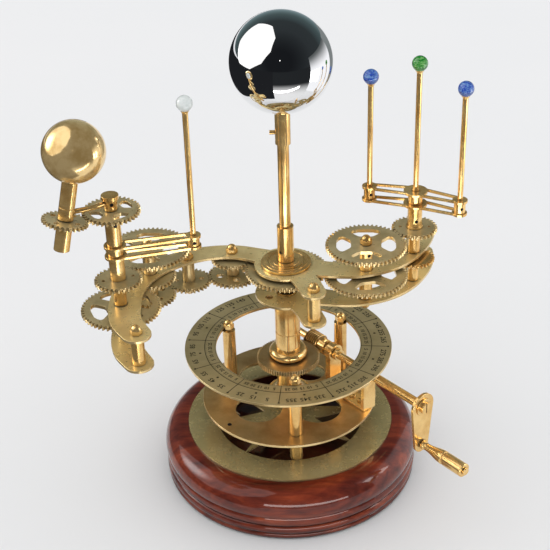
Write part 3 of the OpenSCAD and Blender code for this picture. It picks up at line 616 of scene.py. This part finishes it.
def build_handle():
    """Turned handle: collar, swelling taper, groove and rounded barrel, bored for its pin."""
    joint = JOINTS["handle_spin"]
    pivot, axis = Vector(joint["pos_m"]), Vector(joint["axis"]).normalized()
    length = max((vertex.co - pivot).dot(axis) for vertex in NODES["handle"].data.vertices) / MM
    bore, collar, neck, groove, barrel = 1.65, 3.1, 2.7, 4.3, 5.0
    swell, taper_start, taper_length = 2.3, 3.2, 15.8
    taper = []
    for step in range(1, 11):
        t = step / 10
        wide = neck + swell * math.sin(math.radians(90 * t)) ** 2 * t**0.2
        taper.append((wide, taper_start + taper_length * t))
    profile = [(bore, 0), (collar, 0)]
    profile += arc((collar, 0.3), 0.3, -90, 0, 3) + arc((collar, 1.9), 0.3, 0, 90, 3)
    profile += [(neck, 2.8)] + taper + arc((4.7, 20.1), 0.3, 0, 90, 3)
    profile += [(groove, 20.7), (groove, 21.7)] + arc((4.6, 22.3), 0.4, -90, 0, 4)
    line = barrel - 0.15
    profile += [(barrel, length - 1.4), (line, length - 1.3), (line, length - 1.1), (barrel, length - 1.0)]
    profile += arc((4.4, length - 0.6), 0.6, 0, 90, 5) + [(bore, length)]
    bm = bmesh.new()
    revolve(bm, profile, 96, axis_matrix(pivot, axis))
    mesh = mesh_from(bm, "handle_turned")
    add_piece("handle_turned", mesh, POLISHED, "handle", ["handle"])
    smooth(mesh, 40)


def build_ball_arm():
    """Smoothly bent rod from the spindle's head to the bush that the gold ball's stem turns in."""
    joint = JOINTS["ball_spin"]
    pivot, axis = Vector(joint["pos_m"]), Vector(joint["axis"]).normalized()
    bush_low, bush_high, bush_r, bore = 1.7, 9.7, 5.1, 2.65
    bush = pivot + axis * (bush_low + bush_high) / 2 * MM
    post = Vector(JOINTS["left_spindle_spin"]["pos_m"])
    head = Vector((post.x, post.y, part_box("left_spindle")[1].z - 5.6 * MM))
    reach = bush - head
    side = UP.cross(reach).normalized()
    start, end = head + reach * 0.14, head + reach * 0.88
    sideways, upward, rod_radius = 2.1 * MM, 0.5 * MM, 1.72 * MM
    steps = 18
    path = []
    for i in range(steps + 1):
        t = i / steps
        swell = math.sin(math.pi * t)
        path.append(start.lerp(end, t) + side * sideways * swell + UP * upward * swell)
    bm = bmesh.new()
    tube_along(bm, path, rod_radius)
    rim = 0.25
    profile = [(bore, bush_low), (bush_r - rim, bush_low), (bush_r, bush_low + rim)]
    profile += [(bush_r, bush_high - rim), (bush_r - rim, bush_high), (bore, bush_high)]
    revolve(bm, profile, 96, axis_matrix(pivot, axis))
    mesh = mesh_from(bm, "bent_arm")
    add_piece("bent_arm", mesh, POLISHED, "left_spindle", ["ball_arm"])
    smooth(mesh, 40)


# ---------- engraving and small details ----------


def ring_strip(bm, inner, outer, start, end, low, high, steps):
    """A thin closed arc, in millimetres and degrees, from low to high in Z."""
    sections = []
    for i in range(steps + 1):
        angle = math.radians(start + (end - start) * i / steps)
        way = Vector((math.cos(angle), math.sin(angle), 0))
        sections.append([bm.verts.new((way * r + UP * z) * MM)
                         for r, z in ((inner, low), (outer, low), (outer, high), (inner, high))])
    whole = abs(end - start) >= 360
    if whole:
        bmesh.ops.delete(bm, geom=sections.pop(), context="VERTS")
    count = len(sections)
    for i in range(count if whole else count - 1):
        here, there = sections[i], sections[(i + 1) % count]
        for k in range(4):
            bm.faces.new([here[k], here[(k + 1) % 4], there[(k + 1) % 4], there[k]])
    if not whole:
        bm.faces.new(sections[0])
        bm.faces.new(sections[-1])


def number_mesh(text, size, angle, radius, top, thick):
    """One number, cut as a thin closed mesh, with its top pointing outwards from the ring's middle."""
    curve = bpy.data.curves.new("number", "FONT")
    curve.body = text
    curve.size = size * MM
    curve.align_x = "CENTER"
    curve.align_y = "CENTER"
    curve.extrude = thick / 2 * MM
    curve.offset = 0.07 * MM
    curve.resolution_u = 2
    holder = bpy.data.objects.new("number", curve)
    bpy.context.scene.collection.objects.link(holder)
    bpy.context.view_layer.update()
    mesh = bpy.data.meshes.new_from_object(holder.evaluated_get(bpy.context.evaluated_depsgraph_get()))
    bpy.data.objects.remove(holder)
    spot = Vector((math.cos(math.radians(angle)), math.sin(math.radians(angle)), 0)) * radius * MM
    spot.z = (top + thick / 2 - 0.005) * MM
    mesh.transform(Matrix.Translation(spot) @ Matrix.Rotation(math.radians(angle - 90), 4, "Z"))
    return mesh


def engrave_ring():
    """Twelve sectors with numbers round the calendar ring, filled in black."""
    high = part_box("calendar_ring")[1]
    top = high.z / MM
    outer = high.x / MM
    thick = 0.03
    low, line_top = top - 0.01, top + thick
    inner, divide = 52.9, 60.6
    first = -93
    bm = bmesh.new()
    ring_strip(bm, divide - 0.22, divide + 0.22, 0, 360, low, line_top, 240)
    ring_strip(bm, inner + 0.1, inner + 0.3, 0, 360, low, line_top, 240)
    for sector in range(12):
        angle = first + 30 * sector
        half = math.degrees(0.26 / 64)
        ring_strip(bm, inner, outer - 3.0, angle - half, angle + half, low, line_top, 1)
        dot = math.degrees(0.75 / (outer - 2.6))
        ring_strip(bm, outer - 3.2, outer - 1.9, angle - dot, angle + dot, low, line_top, 3)
        middle = angle + 15
        mark = math.degrees(0.75 / 64.2)
        ring_strip(bm, 63.4, 65.0, middle - mark, middle + mark, low, line_top, 2)
        for tick in range(1, 30):
            fine = math.degrees(0.08 / divide)
            reach = 1.6 if tick % 5 == 0 else 0.9
            ring_strip(bm, divide - reach, divide, angle + tick - fine, angle + tick + fine, low, line_top, 1)
    numbers = []
    for sector in range(12):
        angle = first + 30 * sector
        for k in (-1, 0, 1):
            value = str(30 * (11 - sector) + 15 - 10 * k)
            numbers.append(number_mesh(value, 5.4, angle + 15 + 8.2 * k, 69.2, top, thick))
        for k in range(5):
            numbers.append(number_mesh(str(5 * (5 - k)), 3.9, angle + 4.6 + 5.2 * k, 56.6, top, thick))
    for mesh in numbers:
        bm.from_mesh(mesh)
        bpy.data.meshes.remove(mesh)
    bmesh.ops.remove_doubles(bm, verts=bm.verts, dist=1e-7)
    mesh = mesh_from(bm, "ring_engraving")
    add_piece("ring_engraving", mesh, INK, "base")


def set_screw(name, surface, way, body, radius=1.25):
    """A blackened set screw, its socket facing out of the surface along way."""
    way = Vector(way).normalized()
    profile = [(0, 0.03), (radius * 0.5, 0.03), (radius * 0.6, 0.10), (radius * 0.85, 0.10)]
    profile += [(radius, 0.0), (radius, -0.5), (0, -0.5)]
    bm = bmesh.new()
    revolve(bm, profile, 28, axis_matrix(surface, way))
    mesh = mesh_from(bm, name)
    add_piece(name, mesh, BLACK, body)
    smooth(mesh, 40)


def around(centre, radius, angle, height):
    """A point on an upright cylinder, and the way out of it."""
    way = Vector((math.cos(math.radians(angle)), math.sin(math.radians(angle)), 0))
    return Vector((centre[0], centre[1], height * MM)) + way * radius * MM, way


def add_set_screws():
    """Blackened set screws in the hubs, sleeves and clamps."""
    left = JOINTS["left_spindle_spin"]["pos_m"]
    right = JOINTS["right_spindle_spin"]["pos_m"]
    hub = JOINTS["right_arbor_spin"]["pos_m"]
    head_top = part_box("left_spindle")[1].z / MM
    # Name, centre line, radius of the cylinder, direction it faces, height, and the body it rides on
    spots = [
        ("left_head_screw", left, 4.3, -70, head_top - 5.4, "left_spindle"),
        ("mast_clamp_screw", (0, 0), 5.8, -125, 183, "base"),
        ("right_hub_screw", hub, 4.5, -60, 184.5, "right_arbor"),
        ("right_hub_low_screw", hub, 4.5, -125, 162.6, "right_arbor"),
        ("right_sleeve_screw", right, 5.1, -80, 198, "right_sleeve"),
        ("left_tube_screw", left, 5.1, -60, 233, "left_tube"),
        ("column_screw", (0, 0), 9, -55, 141, "frame"),
    ]
    for name, centre, radius, angle, height, body in spots:
        surface, way = around(centre, radius, angle, height)
        set_screw(name, surface, way, body)
    hole = Vector((-41.5 * MM, -40 * MM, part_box("mid_plate")[1].z))
    set_screw("mid_plate_screw", hole, UP, "base", 1.6)
    low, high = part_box("left_rod")
    surface, way = around((low + high) / 2, 4, -75, (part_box("left_yoke")[1].z / MM) - 4.7)
    set_screw("left_rod_screw", surface, way, "left_tube")
    for index, (low, high) in enumerate(islands("right_rods")):
        surface, way = around((low + high) / 2, 4, -75, (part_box("right_yoke")[1].z / MM) - 5.7)
        set_screw(f"right_rod_screw_{index}", surface, way, "right_sleeve", 1.1)


def add_collar_knurl():
    """Fine ribs round the sun gear's collar."""
    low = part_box("lower_plate")[1].z / MM + 3.6
    ribs, half_rib, length = 44, 2.3, 6.8
    inner, outer = 6.9, 7.35
    bm = bmesh.new()
    for rib in range(ribs):
        middle = 360 / ribs * rib
        ring_strip(bm, inner, outer, middle - half_rib, middle + half_rib, low, low + length, 1)
    mesh = mesh_from(bm, "collar_ribs")
    add_piece("collar_ribs", mesh, POLISHED, "base")


def add_column_seam():
    """The split that lets the lower length of the column be clamped on its arbor."""
    low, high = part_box("column")[0].z / MM + 12, 116
    inner, outer = 8.8, 9.03
    bm = bmesh.new()
    ring_strip(bm, inner, outer, -91.2, -89.2, low, high, 2)
    mesh = mesh_from(bm, "column_split")
    add_piece("column_split", mesh, BLACK, "frame")


# ---------- stage ----------


def glow_material(name, colour, strength, centre=None, near=0.0, far=1.0, far_colour=None, far_strength=0.0):
    """A light that the camera doesn't see. With a centre, it changes to its far values with distance."""
    material = bpy.data.materials.new(name)
    material.use_nodes = True
    tree = material.node_tree
    tree.nodes.clear()
    light = add_node(tree, "ShaderNodeEmission")
    light.inputs["Color"].default_value = rgb(*colour)
    light.inputs["Strength"].default_value = strength
    if centre is not None:
        away = add_node(tree, "ShaderNodeVectorMath", operation="DISTANCE")
        link(tree, place(tree), away.inputs[0])
        away.inputs[1].default_value = centre
        fade = add_node(tree, "ShaderNodeMapRange", interpolation_type="SMOOTHSTEP")
        fade.inputs["From Min"].default_value = near
        fade.inputs["From Max"].default_value = far
        link(tree, away.outputs["Value"], fade.inputs["Value"])
        amount = spread(tree, fade.outputs["Result"], strength, far_strength)
        link(tree, amount, light.inputs["Strength"])
        tint = blend_colours(tree, fade.outputs["Result"], rgb(*colour), rgb(*(far_colour or colour)))
        link(tree, tint, light.inputs["Color"])
    out = add_node(tree, "ShaderNodeOutputMaterial")
    link(tree, light.outputs[0], out.inputs["Surface"])
    return material


def flat_card(name, corners, material):
    """A flat staged card that the camera doesn't see."""
    mesh = bpy.data.meshes.new(name)
    mesh.from_pydata([tuple(corner) for corner in corners], [], [tuple(range(len(corners)))])
    mesh.materials.append(material)
    card = bpy.data.objects.new(name, mesh)
    bpy.context.scene.collection.objects.link(card)
    card.visible_camera = False
    card.visible_shadow = False
    card.visible_diffuse = False
    card.visible_transmission = False
    return card


def build_softbox():
    """Large eight-sided softbox above and to the left."""
    centre = Vector((-0.591, -0.079, 0.779))
    aim = (ball_centre("silver_ball")[0] - centre).normalized()
    side = aim.cross(UP).normalized()
    top = side.cross(aim)
    radius = 0.72
    hot_spot = centre - 0.34 * top - 0.20 * side
    glow = glow_material("softbox_light", (1.0, 0.985, 0.97), 7.0, hot_spot, 0.08, 0.34, far_strength=1.2)
    corners = []
    for i in range(8):
        angle = math.radians(22.5 + 45 * i)
        corners.append(centre + radius * (math.cos(angle) * side + math.sin(angle) * top))
    flat_card("softbox", corners, glow)


def upright_card(name, along, start, end, low, high, material):
    """A card that stands in a plane of constant X ("x", value) or constant Y ("y", value)."""
    axis, value = along
    corners = [(start, low), (end, low), (end, high), (start, high)]
    if axis == "x":
        flat_card(name, [(value, across, z) for across, z in corners], material)
    else:
        flat_card(name, [(across, value, z) for across, z in corners], material)


def build_cards():
    """White wall with two windows on the right, a low light in front, and the floor that the balls see."""
    wall_x, near, bend, far, height = 0.31, -0.14, 0.27, 0.95, 0.42
    fade_from, deep = 0.27, 50.0
    below = (wall_x, (near + bend) / 2, -deep)
    grey = (0.10, 0.11, 0.11)
    white = glow_material(
        "white_card", (0.98, 0.98, 1.0), 1.05, below, deep + fade_from, deep + height, grey, 1.0
    )
    dim = glow_material("grey_card", (0.22, 0.24, 0.24), 1.0)
    upright_card("right_card", ("x", wall_x), near, bend, 0, height, white)
    upright_card("right_far_card", ("x", wall_x), bend, far, 0, height, dim)
    window_x, sill, lintel = wall_x - 0.002, 0.15, 0.27
    window = glow_material("window_light", (1.0, 0.99, 0.97), 6.0)
    upright_card("window_near", ("x", window_x), -0.135, -0.085, sill, lintel, window)
    upright_card("window_far", ("x", window_x), -0.06, -0.01, sill, lintel, window)
    bright = glow_material("front_card_light", (1.0, 0.98, 0.95), 7.0)
    upright_card("front_card", ("y", -0.27), -0.08, 0.26, 0.045, 0.085, bright)

    # The lit floor in front fades into the dark room, which also fills the left
    far_out, lift = 30.0, 0.0006
    lit, unlit = (0.84, 0.84, 0.84), (0.018, 0.020, 0.022)
    fading = glow_material("fading_floor", lit, 1.0, (0, 0, 0), 0.24, 0.62, unlit, 1.0)
    front = [(-far_out, -far_out), (far_out, -far_out), (far_out, -0.12), (-0.12, -0.12)]
    flat_card("fading_front", [(x, y, lift) for x, y in front], fading)
    room_dark = glow_material("dark_room_floor", (0.014, 0.015, 0.017), 1.0)
    left = [(-far_out, 3.0), (-far_out, -far_out), (-8.0, -far_out), (-0.30, -1.10), (-0.06, -0.17)]
    left += [(-0.13, -0.13), (-0.26, 0.02), (-0.27, 3.0)]
    flat_card("dark_left", [(x, y, 2 * lift) for x, y in left], room_dark)


def build_floor():
    """A matt pale floor that reaches past every view."""
    material, tree, shader = principled("pale_floor", Roughness=1.0, Specular_IOR_Level=0.0)
    mottle = noise(tree, place(tree), 3, detail=2)
    tone = ramp(tree, mottle, [(0.2, rgb(0.795, 0.805, 0.815)), (0.8, rgb(0.825, 0.825, 0.83))])
    link(tree, tone, shader.inputs["Base Color"])
    mesh = bpy.data.meshes.new("floor")
    reach = 30
    corners = [(-reach, -reach, 0), (reach, -reach, 0), (reach, reach, 0), (-reach, reach, 0)]
    mesh.from_pydata(corners, [], [(0, 1, 2, 3)])
    mesh.materials.append(material)
    floor = bpy.data.objects.new("floor", mesh)
    bpy.context.scene.collection.objects.link(floor)


def build_small_light(eye):
    """The small round light beside the camera, which shows as a dot in the balls."""
    centre = eye + Vector((-0.03, -0.02, 0.05))
    aim = (ball_centre("silver_ball")[0] - centre).normalized()
    side = aim.cross(UP).normalized()
    top = side.cross(aim)
    radius = 0.018
    corners = [
        centre + radius * (math.cos(math.radians(30 * i)) * side + math.sin(math.radians(30 * i)) * top)
        for i in range(12)
    ]
    flat_card("small_light", corners, glow_material("small_light_glow", (1.0, 0.98, 0.95), 2.2))


def build_world():
    """White wall behind, dark room in front and above. Soft even fill for the floor and the wood."""
    world = bpy.data.worlds.new("studio")
    bpy.context.scene.world = world
    world.use_nodes = True
    tree = world.node_tree
    tree.nodes.clear()
    coordinates = add_node(tree, "ShaderNodeTexCoord")
    wall = add_node(tree, "ShaderNodeVectorMath", operation="DOT_PRODUCT")
    link(tree, coordinates.outputs["Generated"], wall.inputs[0])
    wall.inputs[1].default_value = (0.0, 0.94, -0.34)
    seen = ramp(
        tree,
        spread(tree, wall.outputs["Value"], 0.0, 1.0, -1.0, 1.0),
        [
            (0.05, rgb(0.010, 0.011, 0.013)),
            (0.35, rgb(0.028, 0.033, 0.036)),
            (0.59, rgb(0.030, 0.037, 0.039)),
            (0.70, rgb(0.047, 0.066, 0.070)),
            (0.79, rgb(0.062, 0.090, 0.092)),
            (0.85, rgb(0.090, 0.130, 0.135)),
            (0.91, rgb(0.140, 0.200, 0.210)),
            (0.95, rgb(0.240, 0.300, 0.320)),
            (0.99, rgb(0.420, 0.500, 0.540)),
        ],
    )
    path = add_node(tree, "ShaderNodeLightPath")
    filled = blend_colours(tree, path.outputs["Is Diffuse Ray"], seen, rgb(1.07, 1.07, 1.075))
    backdrop = blend_colours(tree, path.outputs["Is Camera Ray"], filled, rgb(0.84, 0.85, 0.87))
    light = add_node(tree, "ShaderNodeBackground")
    link(tree, backdrop, light.inputs["Color"])
    out = add_node(tree, "ShaderNodeOutputWorld")
    link(tree, light.outputs[0], out.inputs["Surface"])


def build_camera():
    """The camera: above and in front, turned a little to the left of straight ahead."""
    eye = Vector((0.0377, -0.7621, 0.6203))
    ahead = Vector((0, 0.85717, -0.51504))
    right = Vector((1, 0, 0))
    turn = 0.05138
    look = (ahead - turn * right).normalized()
    across = (right + turn * ahead).normalized()
    above = across.cross(look)
    rows = Matrix((across, above, -look)).transposed()
    data = bpy.data.cameras.new("camera")
    data.sensor_width = 36
    data.lens = 82.9
    data.clip_start = 0.01
    camera = bpy.data.objects.new("camera", data)
    camera.matrix_world = Matrix.Translation(eye) @ rows.to_4x4()
    bpy.context.scene.collection.objects.link(camera)
    bpy.context.scene.camera = camera
    bpy.context.scene.view_settings.view_transform = "Standard"
    return eye


eye = build_camera()
dress_frame()
build_base()
build_felt()
build_ball("silver_ball_polished", "silver_ball", SILVER, UP, 5.2)
build_ball("gold_ball_polished", "gold_ball", GOLD, JOINTS["ball_spin"]["axis"], 5.1)
build_marbles()
build_handle()
build_ball_arm()
engrave_ring()
add_set_screws()
add_collar_knurl()
add_column_seam()
build_softbox()
build_cards()
build_floor()
build_small_light(eye)
build_world()
